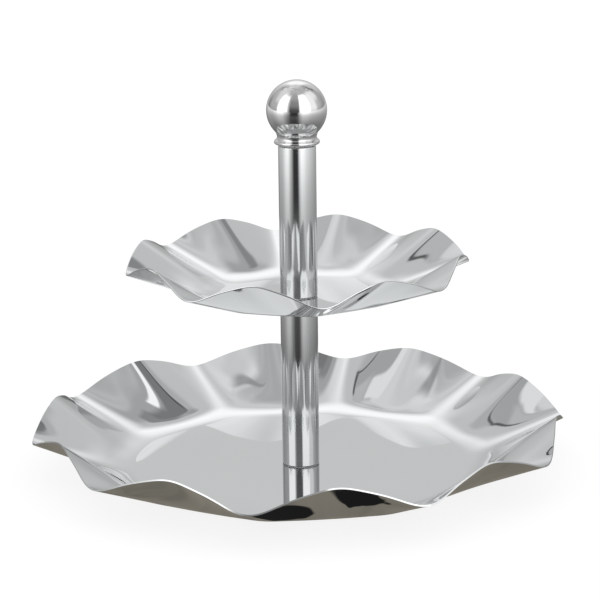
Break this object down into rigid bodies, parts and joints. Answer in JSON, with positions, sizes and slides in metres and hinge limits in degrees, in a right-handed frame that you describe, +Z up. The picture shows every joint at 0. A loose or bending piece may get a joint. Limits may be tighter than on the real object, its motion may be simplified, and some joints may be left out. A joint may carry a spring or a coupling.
{
  "type": "tiered cake stand",
  "caption": "Two-tier serving stand: scalloped polished steel trays on a central tube, with a ball finial to lift it by.",
  "frame": {"origin": "on the tube's axis, on the surface that the lower tray's flat floor stands on", "axes": "+Z up along the tube; +X through a low point that both scalloped rims share"},
  "size_m": [0.3608, 0.3474, 0.2626],
  "materials": {
    "polished_sheet": "mirror-polished stainless steel sheet",
    "polished_tube": "polished stainless steel tube with fine lengthwise grain",
    "polished_finial": "polished stainless steel, turned and spun",
    "plain_steel": "turned stainless steel, unpolished",
    "zinc_steel": "bright fastener steel",
    "clear_washer": "thin clear plastic"
  },
  "bodies": {
    "lower_tier": {"lower_tray": "polished_sheet", "lower_tube_washer": "clear_washer", "lower_tube": "polished_tube", "lower_tube_base_plug": "plain_steel", "lower_tube_top_plug": "plain_steel", "joining_stud": "zinc_steel"},
    "base_washers": {"base_spring_washer": "zinc_steel", "base_washer": "zinc_steel"},
    "base_screw": {"base_screw": "zinc_steel"},
    "upper_tray": {"upper_tray": "polished_sheet"},
    "upper_tube_washer": {"upper_tube_washer": "clear_washer"},
    "upper_column": {"upper_tube": "polished_tube", "upper_tube_base_plug": "plain_steel", "upper_tube_top_plug": "plain_steel"},
    "finial_washer": {"finial_washer": "clear_washer"},
    "finial": {"finial_collar": "polished_finial", "finial_ball": "polished_finial", "finial_ball_bush": "plain_steel", "finial_stud": "zinc_steel"}
  },
  "joints": [
    {"name": "upper_tray_turn", "type": "hinge", "parent": "lower_tier", "child": "upper_tray", "pos_m": [0, 0, 0.1172], "axis": [0, 0, 1], "continuous": true},
    {"name": "upper_column_rise", "type": "slide", "parent": "lower_tier", "child": "upper_tube_washer", "axis": [0, 0, 1], "range_m": [0, 0.01]},
    {"name": "upper_column_unscrew", "type": "hinge", "parent": "upper_tube_washer", "child": "upper_column", "pos_m": [0, 0, 0.12], "axis": [0, 0, 1], "range_deg": [0, 3605]},
    {"name": "finial_rise", "type": "slide", "parent": "upper_column", "child": "finial_washer", "axis": [0, 0, 1], "range_m": [0, 0.008]},
    {"name": "finial_unscrew", "type": "hinge", "parent": "finial_washer", "child": "finial", "pos_m": [0, 0, 0.22], "axis": [0, 0, 1], "range_deg": [0, 2885]},
    {"name": "base_screw_drop", "type": "slide", "parent": "lower_tier", "child": "base_washers", "axis": [0, 0, -1], "range_m": [0, 0.012]},
    {"name": "base_screw_unscrew", "type": "hinge", "parent": "base_washers", "child": "base_screw", "pos_m": [0, 0, 0.0038], "axis": [0, 0, -1], "range_deg": [0, 4325]}
  ],
  "couplings": [
    {"joint": "upper_column_unscrew", "follows": "upper_column_rise", "rad_per_m": 6283.2},
    {"joint": "finial_unscrew", "follows": "finial_rise", "rad_per_m": 6283.2},
    {"joint": "base_screw_unscrew", "follows": "base_screw_drop", "rad_per_m": 6283.2}
  ]
}
